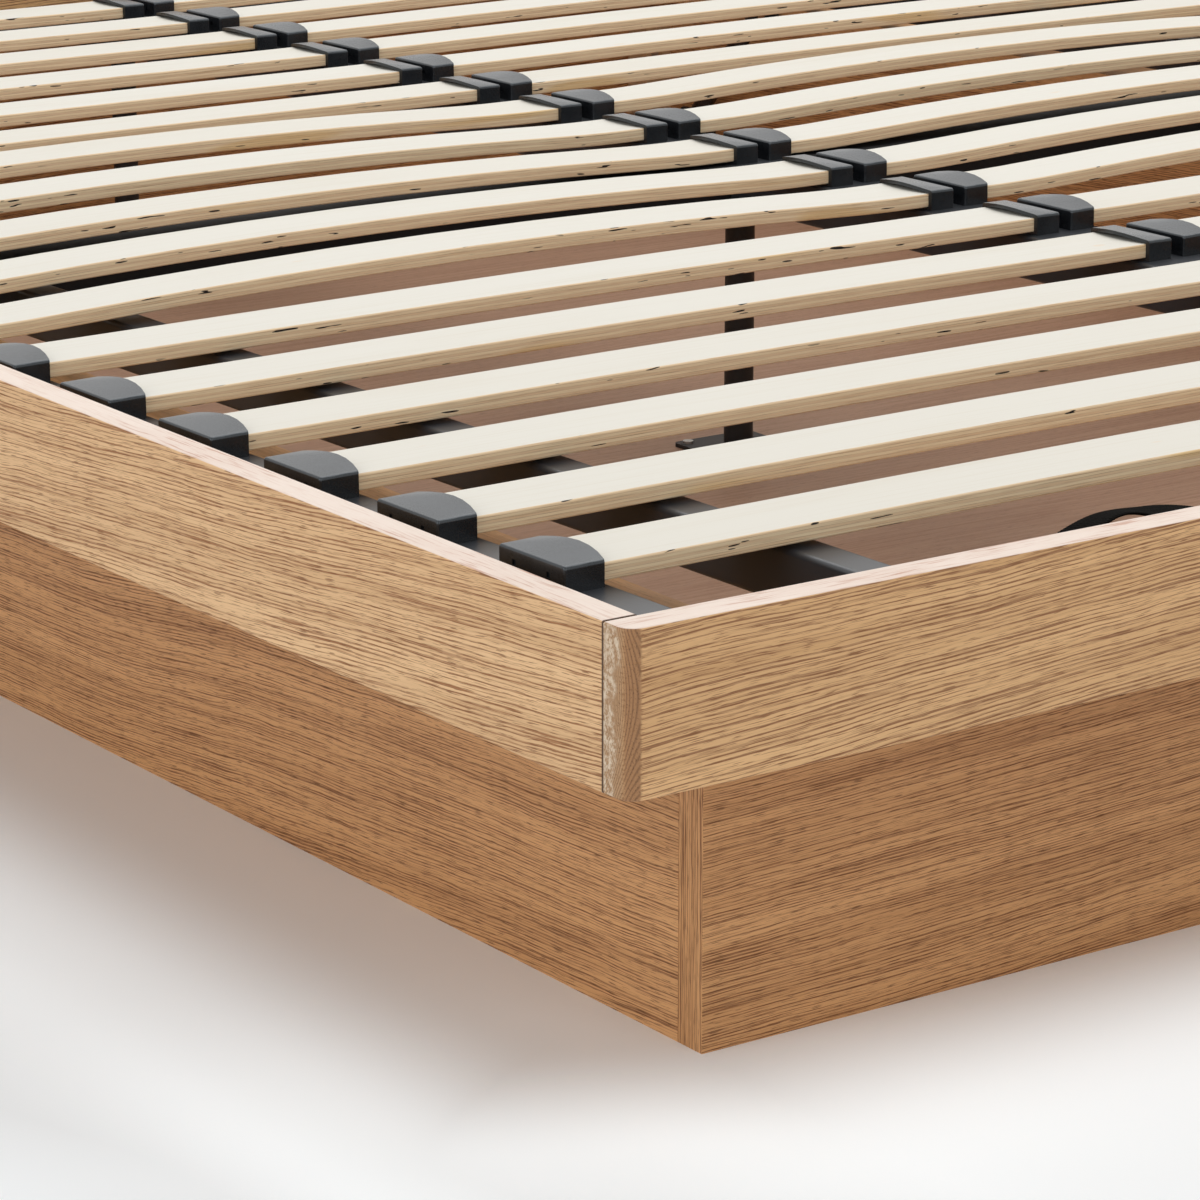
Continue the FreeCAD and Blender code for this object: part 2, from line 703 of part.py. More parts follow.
closed_at = math.radians(-rest_lift)
open_at = math.radians(open_lift)
rod_per_radian = (strut_length(open_at) - strut_length(closed_at)) / (open_at - closed_at)
farthest_at = 2 * math.acos(rod_per_radian / strut_circle) - rest_angle
bulge = strut_length(farthest_at) - strut_length(closed_at) - rod_per_radian * (farthest_at - closed_at)
rod_play = bulge / 2
eye_rest = strut_length(closed_at) - rod_per_radian * closed_at + rod_play
cylinder_floor = eye_neck + cylinder_base
cylinder_length = strut_length(closed_at) - rod_shown_closed
rod_length = strut_length(closed_at) - cylinder_floor - piston_closed_gap

lug_rest = lifted(Part.Vertex(lug_pivot)).Point
strut_run = (lug_rest - mount_pivot).normalize()


def along_strut(shape):
    placed = shape.copy()
    placed.Placement = FreeCAD.Placement(V(strut_x, mount_pivot.y, mount_pivot.z),
                                         FreeCAD.Rotation(along_z, strut_run))
    return placed


def gas_cylinder():
    body = rod(cylinder_radius, V(0, 0, eye_neck - cylinder_wall), along_z,
               cylinder_length - eye_neck + cylinder_wall)
    body = body.fuse(rod(eye_radius, V(-eye_width / 2, 0, 0), along_x, eye_width))
    body = body.fuse(box(-eye_width / 2, eye_width / 2, -eye_width / 2, eye_width / 2, 0, eye_neck))
    body = body.cut(rod(stud_radius + running_fit, V(-eye_width, 0, 0), along_x, 2 * eye_width))
    bore_end = cylinder_length - gland_length
    body = body.cut(rod(cylinder_radius - cylinder_wall, V(0, 0, cylinder_floor), along_z,
                        bore_end - cylinder_floor))
    return body.cut(rod(rod_radius + running_fit, V(0, 0, bore_end - cylinder_wall), along_z,
                        gland_length + 2 * cylinder_wall))


def slotted(half_width_of_slot, half_length_of_slot, thickness):
    middle = box(-thickness / 2, thickness / 2, -half_width_of_slot, half_width_of_slot,
                 eye_rest - half_length_of_slot + half_width_of_slot,
                 eye_rest + half_length_of_slot - half_width_of_slot)
    for end in (-1, 1):
        height = eye_rest + end * (half_length_of_slot - half_width_of_slot)
        middle = middle.fuse(rod(half_width_of_slot, V(-thickness / 2, 0, height), along_x, thickness))
    return middle


def gas_rod():
    slot_width = stud_radius + slot_fit
    slot_length = slot_width + rod_play
    eye = slotted(slot_width + slot_eye_rim, slot_length + slot_eye_rim, slot_eye_width)
    eye = eye.cut(slotted(slot_width, slot_length, 2 * slot_eye_width))
    rod_end = eye_rest - slot_length
    rod_start = eye_rest - rod_length
    shaft = rod(rod_radius, V(0, 0, rod_start), along_z, rod_end - slot_eye_rim / 2 - rod_start)
    piston = rod(cylinder_radius - cylinder_wall - piston_fit, V(0, 0, rod_start), along_z, piston_length)
    return eye.fuse(shaft).fuse(piston).removeSplitter()


pair("gas_cylinder", along_strut(gas_cylinder()))
pair("gas_rod", along_strut(gas_rod()))

# Drill the screw holes, raise the platform and write every piece
pieces["base_screws"] = Part.makeCompound(screws)
for name, cutters in holes.items():
    pieces[name] = pieces[name].cut(cutters)
for name, shape in platform.items():
    pieces[name] = lifted(shape)

os.makedirs("parts", exist_ok=True)
for name, shape in pieces.items():
    shape.exportStep("parts/" + name + ".step")

strut_angle = math.degrees(math.atan2(strut_run.z, -strut_run.y))
print("pieces", len(pieces), "solids", sum(len(shape.Solids) for shape in pieces.values()))
print("hinge", hinge, "mount pivot", mount_pivot, "lug pivot at rest", lug_rest, "strut x", strut_x)
print("strut angle %.4f, run %s" % (strut_angle, strut_run))
print("rod metres per radian %.6f, play %.3f mm" % (rod_per_radian / 1000, rod_play))
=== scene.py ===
import json
import math
import bmesh
import bpy
from mathutils import Matrix, Vector

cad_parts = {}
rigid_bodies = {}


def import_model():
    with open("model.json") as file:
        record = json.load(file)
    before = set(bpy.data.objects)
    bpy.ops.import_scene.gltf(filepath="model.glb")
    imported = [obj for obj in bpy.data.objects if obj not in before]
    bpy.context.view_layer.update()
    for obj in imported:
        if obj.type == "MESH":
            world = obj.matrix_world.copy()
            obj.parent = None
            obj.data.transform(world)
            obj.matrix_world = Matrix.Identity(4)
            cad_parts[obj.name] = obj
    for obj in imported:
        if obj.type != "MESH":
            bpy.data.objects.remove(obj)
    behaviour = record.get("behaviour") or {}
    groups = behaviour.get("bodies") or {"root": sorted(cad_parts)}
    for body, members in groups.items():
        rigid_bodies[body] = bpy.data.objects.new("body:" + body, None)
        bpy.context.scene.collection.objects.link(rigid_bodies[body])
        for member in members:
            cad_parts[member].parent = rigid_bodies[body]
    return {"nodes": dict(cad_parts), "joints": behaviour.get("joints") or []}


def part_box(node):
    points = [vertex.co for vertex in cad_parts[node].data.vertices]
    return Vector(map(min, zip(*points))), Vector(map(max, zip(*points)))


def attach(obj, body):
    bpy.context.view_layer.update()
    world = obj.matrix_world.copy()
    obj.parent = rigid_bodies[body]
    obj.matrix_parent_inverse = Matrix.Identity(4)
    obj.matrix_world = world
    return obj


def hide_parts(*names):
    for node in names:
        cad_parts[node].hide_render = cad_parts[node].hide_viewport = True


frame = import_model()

for extra in [o for o in bpy.data.objects if o.name in ("Cube", "Camera", "Light")]:
    bpy.data.objects.remove(extra)
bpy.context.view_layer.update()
nodes = frame["nodes"]
scene = bpy.context.scene
print("frame loaded:", len(nodes), "nodes")

# the slat platform is drawn level, then leans open by its rest angle about the head hinge
liftJoint = [joint for joint in frame["joints"] if joint["name"] == "platform_lift"][0]
hingePoint = Vector(liftJoint["pos_m"])
restLean = -math.radians(liftJoint["range_deg"][0])
leanOpen = (Matrix.Translation(hingePoint) @ Matrix.Rotation(restLean, 4, Vector(liftJoint["axis"]))
            @ Matrix.Translation(-hingePoint))


# shader sums: a wire is a socket that can be added, multiplied and fed on
class Wire:
    def __init__(self, tree, socket=None):
        self.tree = tree
        self.socket = socket

    def make(self, kind, settings=None, inputs=None, out=0):
        node = self.tree.nodes.new("ShaderNode" + kind)
        for name, value in (settings or {}).items():
            setattr(node, name, value)
        self.feed(node, inputs or {})
        return Wire(self.tree, node.outputs[out])

    def feed(self, node, inputs):
        for name, value in inputs.items():
            if isinstance(value, Wire):
                self.tree.links.new(value.socket, node.inputs[name])
            else:
                node.inputs[name].default_value = value

    def other(self, out):
        return Wire(self.tree, self.socket.node.outputs[out])

    def maths(self, operation, first, second=0.0):
        return self.make("Math", {"operation": operation}, {0: first, 1: second})

    def __add__(self, value):
        return self.maths("ADD", self, value)

    def __radd__(self, value):
        return self.maths("ADD", value, self)

    def __sub__(self, value):
        return self.maths("SUBTRACT", self, value)

    def __rsub__(self, value):
        return self.maths("SUBTRACT", value, self)

    def __mul__(self, value):
        return self.maths("MULTIPLY", self, value)

    def __rmul__(self, value):
        return self.maths("MULTIPLY", value, self)

    def __truediv__(self, value):
        return self.maths("DIVIDE", self, value)

    def __rtruediv__(self, value):
        return self.maths("DIVIDE", value, self)

    def __pow__(self, value):
        return self.maths("POWER", self, value)

    def __rpow__(self, value):
        return self.maths("POWER", value, self)

    def __abs__(self):
        return self.maths("ABSOLUTE", self)

    def fraction(self):
        return self.maths("FRACT", self)

    def wave(self):  # falls from 1 to 0 and rises again over each whole number
        return abs(self.fraction() - 0.5) * 2.0

    def whole(self):
        return self.maths("FLOOR", self)

    def most(self, value):
        return self.maths("MAXIMUM", self, value)

    def step(self, low, high):
        return self.make("MapRange", {"interpolation_type": "SMOOTHSTEP"},
                         {"Value": self, "From Min": low, "From Max": high}, "Result")

    def pick(self, first, second):
        return self.make("Mix", {"data_type": "RGBA", "clamp_factor": True},
                         {0: self, 6: first, 7: second}, 2)

    def tinted(self, tint):
        return self.make("Mix", {"data_type": "RGBA", "blend_type": "MULTIPLY"},
                         {0: 1.0, 6: self, 7: tint}, 2)

    def stretch(self, amounts):
        return self.make("VectorMath", {"operation": "MULTIPLY"}, {0: self, 1: amounts})

    def speckle(self, amounts, detail=2.0, rough=0.5):
        return self.make("TexNoise", {"noise_dimensions": "3D"}, {
            "Vector": self.stretch(amounts), "Scale": 1.0, "Detail": detail, "Roughness": rough})

    def dent(self, strength, distance):
        return self.make("Bump", None, {"Strength": strength, "Distance": distance, "Height": self})

    def coords(self, kind):
        return self.make("TexCoord", None, None, kind)

    def axes(self):
        split = self.make("SeparateXYZ", None, {0: self})
        return split, split.other("Y"), split.other("Z")

    def joined(self, x, y, z):
        return self.make("CombineXYZ", None, {0: x, 1: y, 2: z})


def newMaterial(name):
    mat = bpy.data.materials.new(name)
    mat.use_nodes = True
    tree = mat.node_tree
    tree.nodes.clear()
    sink = tree.nodes.new("ShaderNodeOutputMaterial")
    skin = tree.nodes.new("ShaderNodeBsdfPrincipled")
    tree.links.new(skin.outputs[0], sink.inputs[0])
    return mat, Wire(tree), skin


def dress(material, *names):
    for name in names:
        piece = nodes[name]
        if not piece.material_slots:
            piece.data.materials.append(material)
        for slot in piece.material_slots:
            slot.material = material


# in the settings below a scale stretches noise along each axis, a step is where a mark begins and is full,
# and a show is the share of its colour that a mark gives

# oak boards: long dark grain lines that wander and join, with short pores along them
railOak = {
    "pale": (0.87, 0.563, 0.296, 1), "honey": (0.69, 0.422, 0.204, 1), "line": (0.37, 0.165, 0.062, 1),
    "pore": (0.230, 0.092, 0.034, 1), "slope": -0.045, "flow": 0.040, "ripple": 0.0030,
    "ring": 0.0023, "lines": (9.0, 580), "thin": (20, 1450), "pores": (70, 1900), "band": (1.6, 95),
    "rough": 0.46,
}
sideOak = dict(railOak, slope=0.075)
# painted shade: the foot and head rails take a darker copy of the rail oak, standing in for their faces
# catching less light than the side rails
shadedEndOak = dict(railOak, pale=(0.81, 0.495, 0.236, 1), honey=(0.63, 0.358, 0.154, 1),
               line=(0.31, 0.142, 0.058, 1))
plinthOak = {
    "pale": (0.74, 0.406, 0.178, 1), "honey": (0.59, 0.304, 0.122, 1), "line": (0.27, 0.112, 0.040, 1),
    "pore": (0.140, 0.056, 0.022, 1), "slope": -0.040, "flow": 0.055, "ripple": 0.0030,
    "ring": 0.0017, "lines": (8.0, 640), "thin": (16, 1600), "pores": (75, 2100), "band": (1.4, 70),
    "rough": 0.5,
}
sidePlinthOak = dict(plinthOak, slope=0.05)
oakGrain = {
    "swayScale": (1.1, 3.4, 3.4), "rippleScale": (16.0, 34.0, 34.0), "toneScale": (1.7, 26.0, 26.0),
    "ringScale": (9, 110, 110), "ringSway": 1.7, "ringPart": 0.26, "bandPart": 0.05, "linePart": 0.10,
    "bandStep": (0.36, 0.66), "toneStep": (0.32, 0.68), "lineStep": (0.50, 0.68), "thinStep": (0.57, 0.64),
    "poreStep": (0.60, 0.68), "toneShow": 0.55, "bandShow": 0.45, "lineShow": 0.66, "thinShow": 0.46,
    "poreShow": 0.75, "thinRough": 0.14, "poreRough": 0.2, "endRough": 0.28, "lineDeep": 0.35,
    "thinDeep": 0.25, "dent": (0.25, 0.0005), "shine": 0.42,
    "endStep": (0.80, 0.95), "roundStep": (0.10, 0.30), "litTopStep": (0.6, 0.9),  # by the way a face turns
}
# top faces: a pale cream painted highlight standing in for the overhead light, with real pink-brown grain
# streaks and patches over it
topHighlightAndGrain = {
    "highlightCream": (0.85, 0.715, 0.620, 1), "pink": (0.58, 0.335, 0.240, 1), "wander": 0.004,
    "streakScale": (34, 520, 1), "streakStep": (0.52, 0.66), "streakShow": 0.18, "streakInPatch": 0.60,
    "patchScale": (7, 50, 1), "patchStep": (0.42, 0.62), "patchShow": 0.16,
}
rawEnd = {
    "tan": (0.48, 0.285, 0.150, 1), "ring": (0.19, 0.098, 0.044, 1), "torn": (0.80, 0.660, 0.500, 1),
    "worked": (0.80, 0.68, 0.56, 1), "pitch": 0.0011, "heart": (0.031, 0.270), "squeeze": 0.46,
    "swayScale": (60, 30, 60), "sway": 0.9, "ringStep": (0.65, 0.10), "ringShow": 0.58,
    "pitScale": (1500, 900, 1500), "pitStep": (0.56, 0.68), "pitShow": 0.55,
    "fibreScale": (420, 300, 420), "fibreStep": (0.40, 0.62), "tornScale": (70, 55, 70),
    "tornEdge": 0.022, "tornStep": (0.0090, 0.0135), "tornShow": 0.85,
}
seam = {"dark": (0.090, 0.042, 0.017, 1), "step": (0.0014, 0.00056)}


def sawnEnd(w, depth, z, run):
    across, up = rawEnd["heart"]
    spot = w.joined(depth, z, run)
    sway = (spot.speckle(rawEnd["swayScale"], 2.0) - 0.5) * rawEnd["sway"]
    radius = ((depth - across) ** 2 + ((z - up) * rawEnd["squeeze"]) ** 2) ** 0.5
    ring = (radius / rawEnd["pitch"] + sway).wave()
    pits = spot.speckle(rawEnd["pitScale"], 2.0).step(*rawEnd["pitStep"])
    marks = ring.step(*rawEnd["ringStep"]) * rawEnd["ringShow"] + pits * rawEnd["pitShow"]
    fibre = spot.speckle(rawEnd["fibreScale"], 5.0, 0.72).step(*rawEnd["fibreStep"])
    patch = spot.speckle(rawEnd["tornScale"], 3.0) * rawEnd["tornEdge"] + depth - rawEnd["tornEdge"] / 2
    torn = fibre * patch.step(*rawEnd["tornStep"])
    return (torn * rawEnd["tornShow"]).pick(marks.pick(rawEnd["tan"], rawEnd["ring"]), rawEnd["torn"])


def oak(name, look, board):
    mat, w, skin = newMaterial(name)
    x, y, z = w.coords("Object").axes()
    nx, ny, nz = w.coords("Normal").axes()
    run, thick, endOn = (x, y, abs(nx)) if board["along"] == 0 else (y, x, abs(ny))
    seed = board["seed"]
    ends = endOn.step(*oakGrain["endStep"])
    litTops = nz.step(*oakGrain["litTopStep"])
    depth = board["half"] - abs(thick - board["middle"])
    up = z
    if not board["rawEnds"]:  # a lipped end has its grain upright
        run, up = run + (z - run) * ends, up + (depth - up) * ends
    here = w.joined(run + seed, up, depth)
    sway = here.speckle(oakGrain["swayScale"], 2.0) - 0.5
    ripple = here.speckle(oakGrain["rippleScale"], 2.0) - 0.5
    up = up + run * look["slope"] + sway * look["flow"] + ripple * look["ripple"]
    flowing = w.joined(run + seed, up, depth)

    def grain(kind, detail, rough):
        along, across = look[kind]
        return flowing.speckle((along, across, across), detail, rough)

    band = grain("band", 2.0, 0.5).step(*oakGrain["bandStep"])
    rings = up / look["ring"] + (flowing.speckle(oakGrain["ringScale"], 2.0) - 0.5) * oakGrain["ringSway"]
    even = rings.wave() - 0.5
    line = grain("lines", 3.0, 0.6) + even * oakGrain["ringPart"] + band * oakGrain["bandPart"]
    line = line.step(*oakGrain["lineStep"])
    thin = (grain("thin", 2.0, 0.5) + line * oakGrain["linePart"]).step(*oakGrain["thinStep"])
    pore = (grain("pores", 1.0, 0.5) + line * oakGrain["linePart"]).step(*oakGrain["poreStep"])
    tone = flowing.speckle(oakGrain["toneScale"], 3.0).step(*oakGrain["toneStep"])
    colour = (tone * oakGrain["toneShow"] + band * oakGrain["bandShow"]).pick(look["pale"], look["honey"])
    colour = (line * oakGrain["lineShow"] + thin * oakGrain["thinShow"]).pick(colour, look["line"])
    colour = (pore * oakGrain["poreShow"]).pick(colour, look["pore"])
    rough = look["rough"] + thin * oakGrain["thinRough"] + pore * oakGrain["poreRough"]
    if board["rawEnds"]:  # sawn end grain with torn pale fibres, running on over the rounded corner, tinted darker there
        sawn = sawnEnd(w, depth, z, run)
        rounds = endOn.step(*oakGrain["roundStep"]) * (1 - ends)
        colour = rounds.pick(ends.pick(colour, sawn), sawn.tinted(rawEnd["worked"]))
        rough = rough + ends * oakGrain["endRough"]
    # painted highlight: faces turned upward take the pale cream in place of the oak colour, standing in for
    # the light from above; the pink streaks and patches laid on it are real grain
    strip = w.joined(run + seed * 2, depth + ripple * topHighlightAndGrain["wander"], 0.0)
    streak = strip.speckle(topHighlightAndGrain["streakScale"], 2.0).step(*topHighlightAndGrain["streakStep"])
    patch = strip.speckle(topHighlightAndGrain["patchScale"], 2.0).step(*topHighlightAndGrain["patchStep"])
    pinkness = streak * (topHighlightAndGrain["streakShow"] + patch * topHighlightAndGrain["streakInPatch"])
    pinkness = pinkness + patch * topHighlightAndGrain["patchShow"]
    colour = litTops.pick(colour, pinkness.pick(topHighlightAndGrain["highlightCream"], topHighlightAndGrain["pink"]))
    if board["seam"]:  # shadow line where a side rail butts against an end rail
        toEnd = board["reach"] - abs(run)
        colour = toEnd.step(*seam["step"]).pick(colour, seam["dark"])
    relief = 0.0 - line * oakGrain["lineDeep"] - thin * oakGrain["thinDeep"] - pore
    w.feed(skin, {"Base Color": colour, "Roughness": rough, "Normal": relief.dent(*oakGrain["dent"]),
                  "Specular IOR Level": oakGrain["shine"]})
    return mat


def boardFaces(first, second, axis):
    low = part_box(first)[0]
    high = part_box(second)[1]
    return {"half": (high[axis] - low[axis]) / 2, "middle": (high[axis] + low[axis]) / 2,
            "reach": high[1 - axis], "along": 1 - axis}


endRails = dict(boardFaces("foot_rail", "head_rail", 1), rawEnds=True, seam=False, seed=0.0)
sideRails = dict(boardFaces("side_rail_left", "side_rail_right", 0), rawEnds=True, seam=True, seed=3.7)
endPlinths = dict(boardFaces("foot_plinth", "head_plinth", 1), rawEnds=False, seam=False, seed=7.1)
sidePlinths = dict(boardFaces("side_plinth_left", "side_plinth_right", 0), rawEnds=False, seam=False,
                   seed=12.4)
dress(oak("oakEndRailShaded", shadedEndOak, endRails), "foot_rail", "head_rail")
dress(oak("oakSideRail", sideOak, sideRails), "side_rail_left", "side_rail_right")
dress(oak("oakEndPlinth", plinthOak, endPlinths), "foot_plinth", "head_plinth")
dress(oak("oakSidePlinth", sidePlinthOak, sidePlinths), "side_plinth_left", "side_plinth_right")
print("oak boards dressed")

# inside boards: a tan ledge and a pink-brown storage floor with printed grain
ledgeBoard = {
    "light": (0.74, 0.425, 0.195, 1), "dark": (0.57, 0.295, 0.125, 1), "tick": (0.09, 0.045, 0.025, 1),
    "run": (9, 420), "streakStep": (0.35, 0.72), "streakShow": 0.7, "streakRough": 0.15, "rough": 0.5,
    "swayScale": (1.4, 5.0, 5.0), "sway": 0.03,
    "broadScale": (1.2, 24.0, 24.0), "broadStep": (0.4, 0.7), "broadShow": 0.3,
    "tickScale": (110, 1500, 1500), "tickStep": (0.60, 0.70), "tickShow": 0.35,
    "dent": (0.12, 0.0004), "shine": 0.4,
}
floorBoard = dict(ledgeBoard, light=(0.54, 0.335, 0.225, 1), dark=(0.42, 0.240, 0.152, 1),
                  run=(7, 330), rough=0.42)
softwood = dict(ledgeBoard, light=(0.70, 0.50, 0.30, 1), dark=(0.52, 0.33, 0.17, 1),
                run=(6, 260), rough=0.6)


def plainBoard(name, look, along):
    mat, w, skin = newMaterial(name)
    x, y, z = w.coords("Object").axes()
    s, t = (x, y) if along == 0 else (y, x)
    sway = w.joined(s, t, z).speckle(look["swayScale"], 2.0) - 0.5
    flowing = w.joined(s, t + sway * look["sway"], z + sway * look["sway"])
    run, across = look["run"]
    streak = flowing.speckle((run, across, across), 3.0, 0.62)
    broad = flowing.speckle(look["broadScale"], 2.0).step(*look["broadStep"])
    tick = flowing.speckle(look["tickScale"], 1.0).step(*look["tickStep"])
    darkness = streak.step(*look["streakStep"]) * look["streakShow"] + broad * look["broadShow"]
    colour = darkness.pick(look["light"], look["dark"])
    colour = (tick * look["tickShow"]).pick(colour, look["tick"])
    w.feed(skin, {"Base Color": colour, "Roughness": look["rough"] + streak * look["streakRough"],
                  "Normal": (streak - tick).dent(*look["dent"]), "Specular IOR Level": look["shine"]})
    return mat


floorPanels = ("floor_panel_foot", "floor_panel_middle", "floor_panel_head")
dress(plainBoard("ledgeTan", ledgeBoard, 1), "side_ledge_left", "side_ledge_right")
dress(plainBoard("footLedgeTan", ledgeBoard, 0), "foot_ledge")
dress(plainBoard("storageFloor", floorBoard, 0), *floorPanels)
dress(plainBoard("battenSoftwood", softwood, 1), "floor_battens", "plinth_corner_blocks")
print("inside boards dressed")

# slats: pale birch faces over a layered edge with glue lines and small voids
slatPly = {
    "face": (0.765, 0.738, 0.665, 1), "faceWarm": (0.70, 0.645, 0.54, 1), "edgePale": (0.95, 0.79, 0.540, 1),
    "edgeTan": (0.78, 0.56, 0.345, 1), "glue": (0.36, 0.205, 0.100, 1), "void": (0.006, 0.004, 0.003, 1),
    "stain": (0.80, 0.55, 0.24, 1),
    "bottom": 0.2726, "thick": 0.0095, "layers": 6, "pitch": 0.1135, "innerEnd": 0.0095,
    "flatEnd": 0.030, "bend": 0.060, "bow": 0.0012, "middleBow": 0.0080, "middleReach": 0.284,
}
plyEdge = {
    "edgeStep": (0.20, 0.50), "wanderScale": (5.0, 30.0, 30.0), "wander": 0.16, "oddStep": (0.42, 0.58),
    "oddShow": 0.55, "underStep": (0.16, 0.0), "overStep": (0.90, 1.0), "lineShow": 0.12,
    "lineInStreak": 0.62, "lineStreakStep": (0.38, 0.70), "streakScale": (26, 900, 2600),
    "streakStep": (0.4, 0.7), "streakShow": 0.45, "darkStep": (0.57, 0.66), "darkShow": 0.42,
    "voidScale": (44, 200, 430), "voidStep": (0.700, 0.712), "regionScale": (9, 20, 60),
    "regionStep": (0.50, 0.56), "stainScale": (5, 9, 60), "stainStep": (0.66, 0.74), "stainShow": 0.6,
}
plyFace = {
    "grainScale": (7, 420, 300), "grainStep": (0.48, 0.78), "grainShow": 0.42, "slatShow": 0.22,
    "cloudScale": (5, 22, 22), "cloudStep": (0.5, 0.8), "cloudShow": 0.25,
    "knotScale": (30, 70, 70), "knotStep": (0.77, 0.82), "knotShow": 0.30,
    "rough": 0.55, "edgeRough": 0.25, "grainRough": 0.08, "shine": 0.35, "dent": (0.18, 0.0004),
    "grainDeep": 0.25, "streakDeep": 0.8, "lineDeep": 0.5, "voidDeep": 3.0,
    "halfStep": (-0.001, 0.001), "halfSeed": 40.0, "slatSlide": 9.0,  # each slat takes other noise
}


def slatRise(w, x, y, look):
    inner, outer = look["ends"]
    reach = (outer - inner) / 2 - look["flatEnd"]
    crown = reach - look["bend"]
    away = abs(abs(x) - (inner + outer) / 2)
    onCrown = w.maths("LESS_THAN", away, crown)
    lower = (reach - away).most(0.0) ** 2 / (reach * look["bend"])
    upper = 1 - away ** 2 / (reach * crown)
    bow = look["bow"] + (look["middleBow"] - look["bow"]) * w.maths("LESS_THAN", abs(y), look["middleReach"])
    return bow * (lower + (upper - lower) * onCrown)


def slatMaterial(look):
    mat, w, skin = newMaterial("slatBirchPly")
    x, y, z = w.coords("Object").axes()
    edges = abs(w.coords("Normal").axes()[1]).step(*plyEdge["edgeStep"])
    row = (y / look["pitch"] + 0.5).whole()
    number = row + x.step(*plyFace["halfStep"]) * plyFace["halfSeed"]
    which = w.make("TexWhiteNoise", {"noise_dimensions": "1D"}, {"W": number}, "Value")
    level = (z - hingePoint.z) * math.cos(restLean) + (y - hingePoint.y) * math.sin(restLean) + hingePoint.z
    level = level - slatRise(w, x, y, look)
    here = w.joined(x + which * plyFace["slatSlide"], y, level)
    wander = (here.speckle(plyEdge["wanderScale"], 2.0) - 0.5) * plyEdge["wander"]
    layer = ((level - look["bottom"]) / look["thick"] + wander) * look["layers"]
    ply = layer.fraction()
    odd = (layer * 0.5).fraction().step(*plyEdge["oddStep"])
    line = ply.step(*plyEdge["underStep"]).most(ply.step(*plyEdge["overStep"]))
    streak = here.speckle(plyEdge["streakScale"], 3.0, 0.65)
    region = here.speckle(plyEdge["regionScale"], 0.0).step(*plyEdge["regionStep"])
    gap = here.speckle(plyEdge["voidScale"], 1.0).step(*plyEdge["voidStep"]) * region
    stain = here.speckle(plyEdge["stainScale"], 1.0).step(*plyEdge["stainStep"])
    tan = odd * plyEdge["oddShow"] + streak.step(*plyEdge["streakStep"]) * plyEdge["streakShow"]
    edge = (stain * plyEdge["stainShow"]).pick(tan.pick(look["edgePale"], look["edgeTan"]), look["stain"])
    glue = plyEdge["lineShow"] + streak.step(*plyEdge["lineStreakStep"]) * plyEdge["lineInStreak"]
    edge = (line * glue).pick(edge, look["glue"])
    edge = (streak.step(*plyEdge["darkStep"]) * plyEdge["darkShow"]).pick(edge, look["glue"])
    edge = gap.pick(edge, look["void"])
    grain = here.speckle(plyFace["grainScale"], 3.0, 0.6)
    cloud = here.speckle(plyFace["cloudScale"], 2.0).step(*plyFace["cloudStep"])
    warm = grain.step(*plyFace["grainStep"]) * plyFace["grainShow"] + which * plyFace["slatShow"]
    face = (warm + cloud * plyFace["cloudShow"]).pick(look["face"], look["faceWarm"])
    knot = here.speckle(plyFace["knotScale"], 1.0).step(*plyFace["knotStep"])
    face = (knot * plyFace["knotShow"]).pick(face, look["edgeTan"])
    layered = streak * plyFace["streakDeep"] - line * plyFace["lineDeep"] - gap * plyFace["voidDeep"]
    relief = grain * plyFace["grainDeep"] + edges * layered
    rough = plyFace["rough"] + edges * plyFace["edgeRough"] + grain * plyFace["grainRough"]
    w.feed(skin, {"Base Color": edges.pick(face, edge), "Roughness": rough,
                  "Normal": relief.dent(*plyFace["dent"]), "Specular IOR Level": plyFace["shine"]})
    return mat


slatRows = sorted(name for name in nodes if name.startswith("slat_row"))
slatPly["ends"] = (slatPly["innerEnd"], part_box(slatRows[0])[1][0])
dress(slatMaterial(slatPly), *slatRows)
print("slats dressed:", len(slatRows), "rows")

# coated steel: fine orange peel under a satin coat
frameSteel = {
    "coat": (0.020, 0.022, 0.026, 1), "lift": (0.038, 0.041, 0.048, 1), "rough": 0.30, "shine": 0.5,
    "ior": 1.52, "peel": 900, "dent": (0.10, 0.0002),
    "cloudScale": (11, 11, 11), "cloudStep": (0.35, 0.7), "cloudShow": 0.6, "cloudRough": 0.10,
    "scuffScale": (60, 7, 60), "scuffStep": (0.62, 0.74), "scuffShow": 0.4, "scuffRough": 0.08,
}
# painted shade: the middle cross tubes take a darker, duller copy of the frame steel, standing in for the
# shadow they sit in under the slats
shadedCrossSteel = dict(frameSteel, coat=(0.012, 0.012, 0.013, 1), lift=(0.020, 0.020, 0.021, 1),
                  rough=0.55, shine=0.12)
blackSteel = dict(frameSteel, coat=(0.016, 0.016, 0.017, 1), lift=(0.030, 0.030, 0.031, 1),
                  rough=0.42, shine=0.4)
strutEnamel = dict(frameSteel, coat=(0.012, 0.012, 0.013, 1), lift=(0.022, 0.022, 0.024, 1),
                   rough=0.18, peel=500)


def coatedSteel(name, look):
    mat, w, skin = newMaterial(name)
    here = w.coords("Object")
    peel = here.speckle((look["peel"],) * 3, 2.0)
    cloud = here.speckle(look["cloudScale"], 3.0)
    scuff = here.speckle(look["scuffScale"], 3.0, 0.7).step(*look["scuffStep"])
    worn = cloud.step(*look["cloudStep"]) * look["cloudShow"] + scuff * look["scuffShow"]
    w.feed(skin, {"Base Color": worn.pick(look["coat"], look["lift"]),
                  "Roughness": look["rough"] + cloud * look["cloudRough"] + scuff * look["scuffRough"],
                  "Normal": peel.dent(*look["dent"]), "Specular IOR Level": look["shine"],
                  "IOR": look["ior"]})
    return mat


